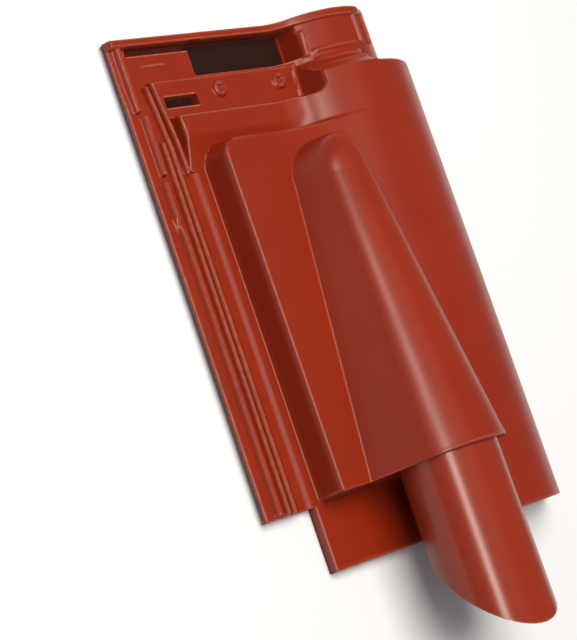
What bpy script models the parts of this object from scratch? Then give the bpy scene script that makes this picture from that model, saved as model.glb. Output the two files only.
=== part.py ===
"""Roof vent tile: a moulded plastic tile with a tapered hood, its outlet tube and the lip in the tube's end.

Places are worked out in the tile's own frame, in millimetres: X runs right from the outer edge of the left
interlock, Y runs up the slope from the pan's front edge, Z runs up from the surface that the tile lies on.
The finished solids are then moved so that the origin is under the middle of the whole object.
"""
import math

import bmesh
import bpy
from mathutils import Matrix, Vector

MM = 0.001

# Sizes of the tile in millimetres
TILE_LENGTH = 430.0
WALL = 3.0
FIT_GAP = 0.3

# Heights of the tile's flat levels
SHEET_TOP = 9.0
HEAD_SHEET_TOP = 8.0
NAIL_PLATE_TOP = 14.0
PLATE_TOP = 20.0
PANEL_TOP = 35.0

# The roll on the right, an arc over a centre that lies below the surface
ROLL_X = 222.0
ROLL_HEIGHT = 59.5
ROLL_RADIUS = 79.5
ROLL_DROP = ROLL_RADIUS - ROLL_HEIGHT
ROLL_LEFT_RADIUS = 50.0
ROLL_COVE = 14.0
HEAD_ROLL_RADIUS = 58.5
HEAD_COVE = 34.0
ROLL_END_Y = TILE_LENGTH - 54.0
ROLL_SLOPE_END_Y = TILE_LENGTH - 39.0
ROLL_SLOPE_DEG = 85.0
PANEL_COVE = 120.0

# The pan, the interlock on the left and its ribs; a raised form's root is the part of it sunk in the body
PAN_LEFT_X = 49.0
INTERLOCK_FRONT_Y = 50.5
RIB_HEIGHT = 4.0
ROOT = 2.0
RIB_HALF_WIDTH = 3.4
OUTER_RIB_RUNS = ((12.0, 52.0, TILE_LENGTH - 151.0), (10.6, TILE_LENGTH - 149.0, TILE_LENGTH - 114.0),
                  (12.5, TILE_LENGTH - 110.0, TILE_LENGTH - 61.0),
                  (8.0, TILE_LENGTH - 59.0, TILE_LENGTH - 4.0))
INNER_RIB_HALF_WIDTH = 2.7
INNER_RIB_PATHS = (((20.5, 51.0), (20.5, TILE_LENGTH - 83.0)),
                   ((26.5, 51.0), (26.5, TILE_LENGTH - 89.0),
                    (24.0, TILE_LENGTH - 57.5), (22.0, TILE_LENGTH - 38.0)))
EDGE_RIB_PATH = ((38.0, TILE_LENGTH - 108.0), (29.2, TILE_LENGTH - 59.0), (26.4, TILE_LENGTH - 37.0))
EDGE_RIB_TOPS = (11.5, 15.2, 15.6)
CHANNEL_X = (31.0, 35.0, 42.0, 47.0)
CHANNEL_DEPTH = 2.6
CHANNEL_END_Y = TILE_LENGTH - 64.0

# The raised panel, and the lower plate that it grows out of at the head
PANEL_LEFT_X = 54.5
PANEL_FRONT_Y = 52.0
PANEL_HEAD_Y = TILE_LENGTH - 92.0
PANEL_RIGHT_X = ROLL_X - 30.0
PANEL_CORNER = 16.0
PANEL_DRAFT = 3.0
PLATE_LEFT_X = 37.0
PLATE_HEAD_Y = TILE_LENGTH - 65.5
PLATE_RAMP_Y = (TILE_LENGTH - 109.0, TILE_LENGTH - 84.0)
PLATE_DRAFT = 1.6

# The hood over the panel: a tapered arch on leaning flanks, rounded off at its upper end
HOOD_X = 146.0
HOOD_MOUTH_Y = 55.0
HOOD_ROUND_Y = TILE_LENGTH - 141.0
HOOD_TIP_Y = TILE_LENGTH - 108.0
HOOD_MOUTH_RADIUS = 44.0
HOOD_AXIS_OVER_PANEL = 27.0
HOOD_FLANK_DEG = 66.0
HOOD_TAPER = 0.568
HOOD_MOUTH_LEAN = 0.03
HOOD_ARC_STEPS = 18

# The head: rib along the edge, nail plate with two bosses, hanging lug with its pocket, side recess
HEAD_RIB_DEPTH = 7.0
HEAD_RIB_HEIGHT = 5.0
NAIL_PLATE_X = (24.0, 173.0)
NAIL_PLATE_Y = (TILE_LENGTH - 68.0, TILE_LENGTH - 35.5)
NAIL_PLATE_DRAFT = 0.8
BOSS_CENTRES = ((93.0, TILE_LENGTH - 48.5), (153.0, TILE_LENGTH - 48.0))
BOSS_RADIUS = 6.8
BOSS_HEIGHT = 3.0
BOSS_DRAFT = 1.4
BOSS_PIT_RADIUS = 2.6
BOSS_PIT_DEPTH = 2.4
POCKET_X = (74.0, 181.0)
POCKET_Y = (TILE_LENGTH - 33.0, TILE_LENGTH - 12.0)
POCKET_FLOOR = 2.6
SLOT_X = (34.0, 71.0)
SLOT_Y = (TILE_LENGTH - 58.5, TILE_LENGTH - 50.0)
SLOT_FLOOR = 5.2
RECESS_X = (174.5, 207.0)
RECESS_Y = (TILE_LENGTH - 63.0, TILE_LENGTH - 37.0)
RECESS_FLOOR = 10.0
TRANSVERSE_RIBS_Y = (TILE_LENGTH - 39.0, TILE_LENGTH - 31.5)
TRANSVERSE_RIB_HALF_WIDTH = 1.6
SIDE_RIBS_X = (235.0, 248.6)
SIDE_RIB_HALF_WIDTH = 2.4
HEAD_ROLL_RIB_HEIGHT = 2.0

# The outlet tube, cut on the slant, and the lip plate set in its cut end
TUBE_AXIS_Z = PANEL_TOP + HOOD_AXIS_OVER_PANEL
TUBE_RADIUS = 39.5
TUBE_WALL = 2.8
TUBE_FLARE = 0.8
TUBE_SOCKET_DEPTH = 2.6
TUBE_TIP_Y = -84.0
TUBE_SLANT = 1.0
TUBE_SIDES = 48
LIP_SET_BACK = 3.0
LIP_THICKNESS = 2.0
LIP_HOLE_RADIUS = 25.0
LIP_HOLE_DROP = 7.5
LIP_OPENING_DEG = 44.0

ARC_STEPS = 14
ROLL_STEPS = 26
FLANK_END_DEG = 97.0
OVERCUT = 6.0
SINK = 0.3
ROLL_RIGHT_X = ROLL_X + math.sqrt(ROLL_RADIUS ** 2 - ROLL_DROP ** 2)
ORIGIN = Vector((ROLL_RIGHT_X / 2, (TILE_LENGTH + TUBE_TIP_Y) / 2, 0.0))


def clear_scene():
    for item in list(bpy.data.objects):
        bpy.data.objects.remove(item, do_unlink=True)


def plastic(name, colour):
    material = bpy.data.materials.new(name)
    material.use_nodes = True
    shader = material.node_tree.nodes["Principled BSDF"]
    shader.inputs["Base Color"].default_value = (*colour, 1.0)
    shader.inputs["Roughness"].default_value = 0.38
    shader.inputs["Metallic"].default_value = 0.0
    return material


def loft(rings):
    """Closed solid through rings of equally many points, each ring turning the same way."""
    mesh = bmesh.new()
    loops = [[mesh.verts.new(point) for point in ring] for ring in rings]
    for low, high in zip(loops, loops[1:]):
        for index in range(len(low)):
            after = (index + 1) % len(low)
            mesh.faces.new((low[index], low[after], high[after], high[index]))
    mesh.faces.new(reversed(loops[0]))
    mesh.faces.new(loops[-1])
    bmesh.ops.recalc_face_normals(mesh, faces=mesh.faces[:])
    return mesh


def along_slope(section, front_y, head_y):
    """Prism of an outline in X and Z, run up the slope."""
    return loft([[(x, y, z) for x, z in section] for y in (front_y, head_y)])


def upright(outline, low_z, high_z, draft=0.0):
    """Block over an outline in X and Y, whose walls lean in by the draft on their way up."""
    return loft([[(x, y, low_z) for x, y in outline],
                 [(x, y, high_z) for x, y in shrunk(outline, draft)]])


def shrunk(outline, distance):
    """The outline moved inwards by a distance, corner by corner."""
    if not distance:
        return list(outline)
    moved = []
    count = len(outline)
    for index, point in enumerate(outline):
        here = Vector(point)
        into = (here - Vector(outline[index - 1])).normalized()
        away = (Vector(outline[(index + 1) % count]) - here).normalized()
        normal_in = Vector((-into.y, into.x))
        normal_out = Vector((-away.y, away.x))
        bisector = (normal_in + normal_out).normalized()
        moved.append(tuple(here + bisector * (distance / max(bisector.dot(normal_in), 0.3))))
    return moved


def rectangle(span_x, span_y):
    return [(span_x[0], span_y[0]), (span_x[1], span_y[0]), (span_x[1], span_y[1]), (span_x[0], span_y[1])]


def arc(centre, radius, start_deg, end_deg, steps):
    angles = (math.radians(start_deg + (end_deg - start_deg) * step / steps) for step in range(steps + 1))
    return [(centre[0] + radius * math.cos(angle), centre[1] + radius * math.sin(angle)) for angle in angles]


def disc(centre, radius, sides=16):
    return arc(centre, radius, 0.0, 360.0 - 360.0 / sides, sides - 1)


def cove_points(level, crest_z, radius, cove):
    """Hollow curve from a flat level up onto an arc under the crest, and the angle where it meets the arc."""
    rise = level + cove - (crest_z - radius)
    run = math.sqrt((radius + cove) ** 2 - rise ** 2)
    meet_deg = math.degrees(math.atan2(rise, -run))
    return arc((ROLL_X - run, level + cove), cove, -90.0, meet_deg - 180.0, ARC_STEPS // 2), meet_deg


def roll_section(left_x, level, base, radius, left_radius, cove):
    """Outline of a sheet at one level with the roll at its right, down to the base height."""
    crest_z = radius - ROLL_DROP
    hollow, meet_deg = cove_points(level, crest_z, left_radius, cove)
    end_deg = math.degrees(math.asin((ROLL_DROP + base) / radius))
    left = arc((ROLL_X, crest_z - left_radius), left_radius, meet_deg, 90.0, ROLL_STEPS // 2)
    right = arc((ROLL_X, -ROLL_DROP), radius, 90.0, end_deg, ROLL_STEPS // 2)
    return [(left_x, base), (left_x, level), *hollow, *left[1:], *right[1:]][::-1]


def flank_section(level, base, radius, cove, end_deg=FLANK_END_DEG):
    """Outline of the gentle slope from a level up to the roll's crest, its ends just under the surfaces."""
    hollow, meet_deg = cove_points(level, radius - ROLL_DROP, radius, cove)
    slope = arc((ROLL_X, -ROLL_DROP), radius, meet_deg, end_deg, ROLL_STEPS // 2)
    sunk = (hollow[0][0] - 4.0, level - SINK)
    end = (slope[-1][0] + 2.0, slope[-1][1] - 2 * SINK)
    return [(sunk[0], base), sunk, *hollow[1:], *slope[1:], end, (end[0], base)][::-1]


def cove_section(level, base, radius, cove):
    """Outline of only the hollow curve from a level onto the roll, its ends sunk under both surfaces."""
    hollow, _ = cove_points(level, radius - ROLL_DROP, radius, cove)
    last_x, last_z = hollow[-1]
    sunk = (hollow[0][0] - 3.0, level - SINK)
    inside = (last_x + 4.0, last_z - WALL)
    return [(sunk[0], base), sunk, *hollow[1:-1], (last_x, last_z - SINK), inside, (inside[0], base)][::-1]


def channel_section():
    """Outline of the wide channel in the left interlock, cut from above."""
    left, floor_left, floor_right, right = CHANNEL_X
    floor = SHEET_TOP - CHANNEL_DEPTH
    high = SHEET_TOP + OVERCUT
    return [(floor_left, floor), (floor_right, floor), (right, SHEET_TOP), (right, high), (left, high),
            (left, SHEET_TOP)]


def rib_section(x, base, height, half_width):
    return [(x - half_width, base), (x + half_width, base), (x + 0.35 * half_width, base + height),
            (x - 0.35 * half_width, base + height)]


def bent_rib(path, tops, half_width):
    """A rib through several places in plan, with its own top height at each."""
    base = HEAD_SHEET_TOP - ROOT
    sections = [rib_section(x, base, top - base, half_width) for (x, _), top in zip(path, tops)]
    return loft([[(x, y, z) for x, z in section] for section, (_, y) in zip(sections, path)])


def roll_slope(skin=0.0):
    """The roll's left side at the head and its slope down onto the head roll; with a skin, its hollow."""
    base = -1.3 * OVERCUT if skin else 1.5 * ROOT
    cove = HEAD_COVE + skin
    radius = ROLL_RADIUS - skin - SINK / 2
    high = flank_section(SHEET_TOP - skin, base, radius, cove, ROLL_SLOPE_DEG)
    sunk = skin + SINK
    low = flank_section(HEAD_SHEET_TOP - sunk, base, HEAD_ROLL_RADIUS - sunk, cove, ROLL_SLOPE_DEG)
    shift = skin / 2
    high_end = ROLL_END_Y - shift - SINK
    stops = [(high, PLATE_RAMP_Y[0] + skin), (high, high_end), (low, ROLL_SLOPE_END_Y - shift)]
    return loft([[(x, y, z) for x, z in section] for section, y in stops])


def panel_outline(left, front, head, right, corner):
    """The panel in plan, with its rounded upper left corner."""
    rounded = arc((left + corner, head - corner), corner, 180.0, 90.0, ARC_STEPS // 2)[::-1]
    return [(left, front), (right, front), (right, head), *rounded]


def hood_ring(y, width_scale, height_scale, base, skin):
    """Cross-section of the hood at one place: leaning flank, arch, leaning flank, closed below."""
    flank = math.radians(HOOD_FLANK_DEG)
    side = math.cos(math.pi / 2 - flank)
    tangent_z = HOOD_AXIS_OVER_PANEL + HOOD_MOUTH_RADIUS * math.cos(flank)
    foot_x = HOOD_MOUTH_RADIUS * side + (tangent_z + PANEL_TOP - base) / math.tan(flank)
    start = 90.0 - HOOD_FLANK_DEG
    arch = arc((0.0, HOOD_AXIS_OVER_PANEL), HOOD_MOUTH_RADIUS, start, 180.0 - start, HOOD_ARC_STEPS)
    profile = [(foot_x, base - PANEL_TOP), *arch, (-foot_x, base - PANEL_TOP)]
    widest = HOOD_MOUTH_RADIUS + HOOD_AXIS_OVER_PANEL
    narrowing = max(width_scale - skin / (HOOD_MOUTH_RADIUS + 4.0), 0.05)
    lowering = max(height_scale - skin / widest, 0.05)
    ring = []
    for x, z in profile:
        lift = z * lowering if z > 0 else z
        ring.append((HOOD_X + x * narrowing, y + HOOD_MOUTH_LEAN * max(lift, 0.0), PANEL_TOP + lift))
    return ring


def hood(base, skin=0.0):
    """The hood as a solid; with a skin it is the hollow inside the moulded wall."""
    rings = []
    for share in (0.0, 0.5, 1.0):
        y = HOOD_MOUTH_Y + (HOOD_ROUND_Y - HOOD_MOUTH_Y) * share + (skin if share == 0.0 else 0.0)
        scale = 1.0 - (1.0 - HOOD_TAPER) * (y - HOOD_MOUTH_Y) / (HOOD_ROUND_Y - HOOD_MOUTH_Y)
        rings.append(hood_ring(y, scale, scale, base, skin))
    for turn in (20.0, 38.0, 54.0, 68.0, 79.0):
        angle = math.radians(turn)
        y = HOOD_ROUND_Y + (HOOD_TIP_Y - HOOD_ROUND_Y - skin) * math.sin(angle)
        width = HOOD_TAPER * math.cos(angle)
        height = HOOD_TAPER * math.cos(angle) ** 0.7
        rings.append(hood_ring(y, width, height, base, skin))
    return loft(rings)


def turned_bore(radius, front_y, back_y):
    """Straight round cutter along the tube's axis."""
    ring = disc((HOOD_X, TUBE_AXIS_Z), radius, TUBE_SIDES)
    return along_slope(ring, front_y, back_y)


def as_object(name, mesh_builder):
    data = bpy.data.meshes.new(name)
    mesh_builder.to_mesh(data)
    mesh_builder.free()
    item = bpy.data.objects.new(name, data)
    bpy.context.scene.collection.objects.link(item)
    return item


def combine(base, tool, operation):
    """Join a tool to a body, or cut it away, by an exact Boolean that is applied at once."""
    other = as_object("tool", tool)
    cut = base.modifiers.new("combine", "BOOLEAN")
    cut.operation = operation
    cut.solver = "EXACT"
    cut.object = other
    bpy.context.view_layer.update()
    result = bpy.data.meshes.new_from_object(base.evaluated_get(bpy.context.evaluated_depsgraph_get()))
    base.modifiers.remove(cut)
    old = base.data
    base.data = result
    bpy.data.meshes.remove(old)
    bpy.data.objects.remove(other, do_unlink=True)


def trim_box():
    """What the outer forms are trimmed to: the floor below, the left edge and the head edge."""
    return upright(rectangle((0.0, ROLL_RIGHT_X + OVERCUT), (-OVERCUT, TILE_LENGTH)), 0.0, 4 * ROLL_RADIUS)


def sheet_and_roll():
    """The tile's level sheet with its roll, without the corner in front of the interlock."""
    section = roll_section(-OVERCUT, SHEET_TOP, -OVERCUT, ROLL_RADIUS, ROLL_LEFT_RADIUS, ROLL_COVE)
    body = as_object("vent_tile", along_slope(section, 0.0, ROLL_END_Y))
    corner = rectangle((-2 * OVERCUT, PAN_LEFT_X), (-OVERCUT, INTERLOCK_FRONT_Y))
    combine(body, upright(corner, -2 * OVERCUT, 3 * SHEET_TOP), "DIFFERENCE")
    combine(body, along_slope(channel_section(), INTERLOCK_FRONT_Y - OVERCUT, CHANNEL_END_Y), "DIFFERENCE")
    return body


def head_forms():
    """The lower sheet and roll at the head, the rib along the head edge and the ribs on the head roll."""
    low = -1.2 * OVERCUT
    sheet = roll_section(low, HEAD_SHEET_TOP, low, HEAD_ROLL_RADIUS, HEAD_ROLL_RADIUS, HEAD_COVE)
    low = -1.4 * OVERCUT
    radius = HEAD_ROLL_RADIUS + HEAD_RIB_HEIGHT / 2
    rib = roll_section(low, SHEET_TOP + HEAD_RIB_HEIGHT, low, radius, radius, HEAD_COVE)
    forms = [along_slope(sheet, PANEL_HEAD_Y - OVERCUT, TILE_LENGTH + OVERCUT),
             along_slope(rib, TILE_LENGTH - HEAD_RIB_DEPTH, TILE_LENGTH + 1.2 * OVERCUT)]
    forms += [head_roll_rib(y) for y in TRANSVERSE_RIBS_Y]
    for x in SIDE_RIBS_X:
        lift = math.sqrt(HEAD_ROLL_RADIUS ** 2 - (x - ROLL_X) ** 2) - ROLL_DROP
        root = 2 * ROOT
        section = rib_section(x, lift - root, HEAD_ROLL_RIB_HEIGHT + root, SIDE_RIB_HALF_WIDTH)
        forms.append(along_slope(section, TRANSVERSE_RIBS_Y[1], TILE_LENGTH - 0.5 * HEAD_RIB_DEPTH))
    return forms


def interlock_ribs():
    """The broken outer rib, the interlock's two inner ribs and the rib from the nail plate's left edge."""
    base = HEAD_SHEET_TOP - ROOT
    height = SHEET_TOP + RIB_HEIGHT - base
    ribs = []
    for x, front, end in OUTER_RIB_RUNS:
        ribs.append(along_slope(rib_section(x, base, height, RIB_HALF_WIDTH), front, end))
    for path in INNER_RIB_PATHS:
        ribs.append(bent_rib(path, [SHEET_TOP + RIB_HEIGHT] * len(path), INNER_RIB_HALF_WIDTH))
    ribs.append(bent_rib(EDGE_RIB_PATH, EDGE_RIB_TOPS, INNER_RIB_HALF_WIDTH))
    return ribs


def raised_forms():
    """What stands above the sheet below the nail plate: plate, panel, hood and the roll's slopes."""
    outline = panel_outline(PANEL_LEFT_X, PANEL_FRONT_Y, PANEL_HEAD_Y, PANEL_RIGHT_X, PANEL_CORNER)
    inside = PANEL_DRAFT + SINK
    plate_cove = cove_section(PLATE_TOP, 2 * ROOT, ROLL_RADIUS, HEAD_COVE)
    panel_flank = flank_section(PANEL_TOP, 2.5 * ROOT, ROLL_RADIUS, PANEL_COVE)
    forms = [plate_form(0.0),
             along_slope(plate_cove, PLATE_RAMP_Y[1], PLATE_HEAD_Y - PLATE_DRAFT),
             roll_slope(),
             upright(outline, SHEET_TOP - 1.5 * ROOT, PANEL_TOP, PANEL_DRAFT),
             along_slope(panel_flank, PANEL_FRONT_Y + inside, PANEL_HEAD_Y - inside),
             hood(PANEL_TOP - 3 * ROOT)]
    return forms


def space_over_nail_plate():
    """What is cleared over the nail plate, so that the roll's slope ends beside it."""
    cleared = rectangle((-OVERCUT, NAIL_PLATE_X[1] + 2 * SINK), (PLATE_HEAD_Y, NAIL_PLATE_Y[1] + SINK))
    return upright(cleared, NAIL_PLATE_TOP - SINK, 3 * ROLL_RADIUS)


def nail_plate_forms():
    forms = [upright(rectangle(NAIL_PLATE_X, NAIL_PLATE_Y), ROOT, NAIL_PLATE_TOP, NAIL_PLATE_DRAFT)]
    for centre in BOSS_CENTRES:
        boss = upright(disc(centre, BOSS_RADIUS), 2 * ROOT, NAIL_PLATE_TOP + BOSS_HEIGHT, BOSS_DRAFT)
        forms.append(boss)
    return forms


def outer_form():
    """The tile's outside as one solid block, before it is hollowed from below."""
    body = sheet_and_roll()
    for tool in (*head_forms(), *raised_forms()):
        combine(body, tool, "UNION")
    combine(body, space_over_nail_plate(), "DIFFERENCE")
    for tool in (*nail_plate_forms(), *interlock_ribs()):
        combine(body, tool, "UNION")
    combine(body, trim_box(), "INTERSECT")
    return body


def plate_form(skin):
    """The lower plate: level at the head, and ramped down to the sheet at its lower end."""
    low_y, level_y = PLATE_RAMP_Y
    top = PLATE_TOP - skin
    low_z = ROOT - 2 * skin
    profile = [(low_y + skin, low_z), (PLATE_HEAD_Y - skin, low_z), (PLATE_HEAD_Y - skin - PLATE_DRAFT, top),
               (level_y + skin / 2, top), (low_y + skin, SHEET_TOP - skin - 0.4)]
    left = PLATE_LEFT_X + skin
    right = ROLL_X - 45.0
    return loft([[(x, y, z) for y, z in profile] for x in (left, right)])


def head_roll_rib(y):
    """One low rib across the left side of the head roll."""
    half = TRANSVERSE_RIB_HALF_WIDTH
    top = HEAD_ROLL_RADIUS + HEAD_ROLL_RIB_HEIGHT
    crown = arc((ROLL_X, -ROLL_DROP), top, 84.0, 124.0, ARC_STEPS)
    under = arc((ROLL_X, -ROLL_DROP), HEAD_ROLL_RADIUS - ROOT, 124.0, 84.0, ARC_STEPS)
    return along_slope([*crown, *under], y - half, y + half)


def recess_outline():
    """The recess beside the nail plate, round at the end that bites into the roll."""
    middle = (RECESS_Y[0] + RECESS_Y[1]) / 2
    half = (RECESS_Y[1] - RECESS_Y[0]) / 2
    end = arc((RECESS_X[1] - half, middle), half, -90.0, 90.0, ARC_STEPS // 2)
    return [(RECESS_X[0], RECESS_Y[0]), *end, (RECESS_X[0], RECESS_Y[1])]


def top_recesses():
    """What is sunk into the tile from above."""
    high = ROLL_RADIUS
    cuts = [upright(rectangle(POCKET_X, POCKET_Y), POCKET_FLOOR, high),
            upright(rectangle(SLOT_X, SLOT_Y), SLOT_FLOOR, high),
            upright(recess_outline(), RECESS_FLOOR, high)]
    for centre in BOSS_CENTRES:
        pit_floor = NAIL_PLATE_TOP + BOSS_HEIGHT - BOSS_PIT_DEPTH
        cuts.append(upright(disc(centre, BOSS_PIT_RADIUS, 12), pit_floor, high))
    return cuts


def hollows():
    """The spaces under the moulded wall, each one wall thickness inside the outer form."""
    below = -OVERCUT
    inner = ROLL_RADIUS - WALL
    left_inner = ROLL_LEFT_RADIUS - WALL
    level = SHEET_TOP - WALL
    pan_void = roll_section(PAN_LEFT_X + WALL, level, below, inner, left_inner, ROLL_COVE + WALL)
    voids = [along_slope(pan_void, WALL, ROLL_END_Y - WALL)]
    left_centre = (ROLL_X, ROLL_HEIGHT - ROLL_LEFT_RADIUS)
    mouth_left = arc(left_centre, left_inner - SINK, 90.0, 168.0, ROLL_STEPS // 2)
    mouth = [*arc((ROLL_X, -ROLL_DROP), inner - SINK, 22.0, 90.0, ROLL_STEPS // 2), *mouth_left[1:]]
    voids.append(along_slope([*mouth, (mouth[-1][0], below), (mouth[0][0], below)], below, 2 * WALL))
    head_inner = HEAD_ROLL_RADIUS - WALL
    head_level = HEAD_SHEET_TOP - WALL
    head_left = RECESS_X[0] + 8.0
    head_void = roll_section(head_left, head_level, 1.2 * below, head_inner, head_inner, HEAD_COVE + WALL)
    voids.append(along_slope(head_void, ROLL_END_Y - 2 * WALL, TILE_LENGTH - WALL))
    voids.append(roll_slope(WALL))
    strip_top = SHEET_TOP - CHANNEL_DEPTH - WALL
    strip = rectangle((WALL, PANEL_LEFT_X + 2 * WALL), (INTERLOCK_FRONT_Y + WALL, SLOT_Y[0] - WALL))
    voids.append(upright(strip, 1.4 * below, strip_top))
    outline = panel_outline(PANEL_LEFT_X, PANEL_FRONT_Y, PANEL_HEAD_Y, PANEL_RIGHT_X, PANEL_CORNER)
    voids.append(upright(shrunk(outline, WALL), 1.6 * below, PANEL_TOP - WALL, PANEL_DRAFT))
    inside = PANEL_DRAFT + WALL + SINK
    slope = flank_section(PANEL_TOP - WALL, 1.8 * below, inner, PANEL_COVE + WALL)
    voids.append(along_slope(slope, PANEL_FRONT_Y + inside, PANEL_HEAD_Y - inside))
    voids.append(plate_form(WALL))
    voids.append(hood(PANEL_TOP - 3 * WALL, WALL))
    return voids


def head_hollows():
    """The spaces under the nail plate and under the plain sheet of the head."""
    nail_x = (NAIL_PLATE_X[0] + WALL, NAIL_PLATE_X[1] - WALL)
    nail = rectangle(nail_x, (PLATE_HEAD_Y - 2 * WALL, NAIL_PLATE_Y[1] - WALL))
    head = rectangle((WALL, RECESS_X[0] + 4 * WALL), (NAIL_PLATE_Y[0] - WALL, TILE_LENGTH - WALL))
    return [upright(nail, -2.2 * OVERCUT, NAIL_PLATE_TOP - WALL),
            upright(head, -2.4 * OVERCUT, HEAD_SHEET_TOP - WALL)]


def recess_shells():
    """The material kept around each recess, so that its walls and floor stand in the hollow below."""
    shells = []
    for span_x, span_y, floor in ((POCKET_X, POCKET_Y, POCKET_FLOOR), (SLOT_X, SLOT_Y, SLOT_FLOOR)):
        wide_x = (span_x[0] - WALL, span_x[1] + WALL)
        wide_y = (span_y[0] - WALL, span_y[1] + WALL)
        low = floor - WALL if floor > WALL else -4 * OVERCUT
        shells.append(upright(rectangle(wide_x, wide_y), low, 2 * ROLL_RADIUS))
    shells.append(upright(shrunk(recess_outline(), -WALL), RECESS_FLOOR - WALL, 2.2 * ROLL_RADIUS))
    nail_x = (-2 * OVERCUT, NAIL_PLATE_X[1] + WALL + 2 * SINK)
    nail_y = (PLATE_HEAD_Y - WALL, NAIL_PLATE_Y[1] + WALL)
    shells.append(upright(rectangle(nail_x, nail_y), NAIL_PLATE_TOP - WALL - SINK, 2.4 * ROLL_RADIUS))
    return shells


def underside():
    """All the hollows joined into one form, less the shells of the recesses."""
    first, *others = [*hollows(), *head_hollows()]
    form = as_object("underside", first)
    for other in others:
        combine(form, other, "UNION")
    for shell in recess_shells():
        combine(form, shell, "DIFFERENCE")
    return form


def make_tile():
    """The moulded tile: the outer form, hollowed from below, with its recesses and the bore for the tube."""
    tile = outer_form()
    hollow = underside()
    cutter = bmesh.new()
    cutter.from_mesh(hollow.data)
    bpy.data.objects.remove(hollow, do_unlink=True)
    combine(tile, cutter, "DIFFERENCE")
    for recess in top_recesses():
        combine(tile, recess, "DIFFERENCE")
    mouth = turned_bore(TUBE_RADIUS + FIT_GAP, PANEL_FRONT_Y - OVERCUT, HOOD_MOUTH_Y + WALL + OVERCUT)
    combine(tile, mouth, "DIFFERENCE")
    return tile


def slanted(x, z, radius_share, set_back):
    """A point of the tube's slanted end plane, for a place in its cross-section."""
    top_z = TUBE_AXIS_Z + TUBE_RADIUS + TUBE_FLARE
    y = TUBE_TIP_Y + set_back + (top_z - (TUBE_AXIS_Z + z * radius_share)) * TUBE_SLANT
    return (HOOD_X + x * radius_share, y, TUBE_AXIS_Z + z * radius_share)


def make_tube():
    """Hollow tube held in the mouth wall, a little wider towards its slanted open end."""
    circle = disc((0.0, 0.0), 1.0, TUBE_SIDES)
    wide = TUBE_RADIUS + TUBE_FLARE
    lean = HOOD_MOUTH_LEAN * (HOOD_AXIS_OVER_PANEL + HOOD_MOUTH_RADIUS)
    inner_end = HOOD_MOUTH_Y + lean + WALL + TUBE_SOCKET_DEPTH

    def ring(radius, y):
        return [(HOOD_X + radius * x, y, TUBE_AXIS_Z + radius * z) for x, z in circle]

    rings = [[slanted(x, z, wide, 0.0) for x, z in circle],
             ring(TUBE_RADIUS, INTERLOCK_FRONT_Y),
             ring(TUBE_RADIUS, inner_end),
             ring(TUBE_RADIUS - TUBE_WALL, inner_end),
             ring(TUBE_RADIUS - TUBE_WALL, INTERLOCK_FRONT_Y),
             [slanted(x, z, wide - TUBE_WALL, 0.0) for x, z in circle]]
    mesh = bmesh.new()
    loops = [[mesh.verts.new(point) for point in points] for points in rings]
    for low, high in zip(loops, [*loops[1:], loops[0]]):
        for index in range(TUBE_SIDES):
            after = (index + 1) % TUBE_SIDES
            mesh.faces.new((low[index], low[after], high[after], high[index]))
    bmesh.ops.recalc_face_normals(mesh, faces=mesh.faces[:])
    return as_object("outlet_tube", mesh)


def make_lip():
    """Plate across the tube's slanted end, broad at the top, with a round hole that opens at the bottom."""
    outside = TUBE_RADIUS + TUBE_FLARE - TUBE_WALL - FIT_GAP - 0.2
    start = LIP_OPENING_DEG / 2 - 90.0
    outer = arc((0.0, 0.0), outside, start, 360.0 - 90.0 - LIP_OPENING_DEG / 2, TUBE_SIDES)
    half_gap = outside * math.sin(math.radians(LIP_OPENING_DEG / 2))
    edge = math.degrees(math.asin(min(half_gap / LIP_HOLE_RADIUS, 0.99)))
    hole = arc((0.0, -LIP_HOLE_DROP), LIP_HOLE_RADIUS, 270.0 - edge, edge - 90.0, TUBE_SIDES)
    outline = [*outer, *hole]
    rings = [[slanted(x, z, 1.0, set_back) for x, z in outline]
             for set_back in (LIP_SET_BACK, LIP_SET_BACK + LIP_THICKNESS)]
    return as_object("outlet_lip", loft(rings))


def settle(item, material):
    """Turn millimetres into metres, put the origin under the middle, and give the finish."""
    item.data.transform(Matrix.Scale(MM, 4) @ Matrix.Translation(-ORIGIN))
    item.data.materials.clear()
    item.data.materials.append(material)
    item.data.update()


def main():
    clear_scene()
    settle(make_tile(), plastic("tile_plastic", (0.36, 0.052, 0.024)))
    settle(make_tube(), plastic("tube_plastic", (0.37, 0.056, 0.026)))
    settle(make_lip(), plastic("lip_plastic", (0.34, 0.048, 0.024)))


main()
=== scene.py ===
import math

import bmesh
import bpy
import numpy as np
from mathutils import Matrix, Vector


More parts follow.
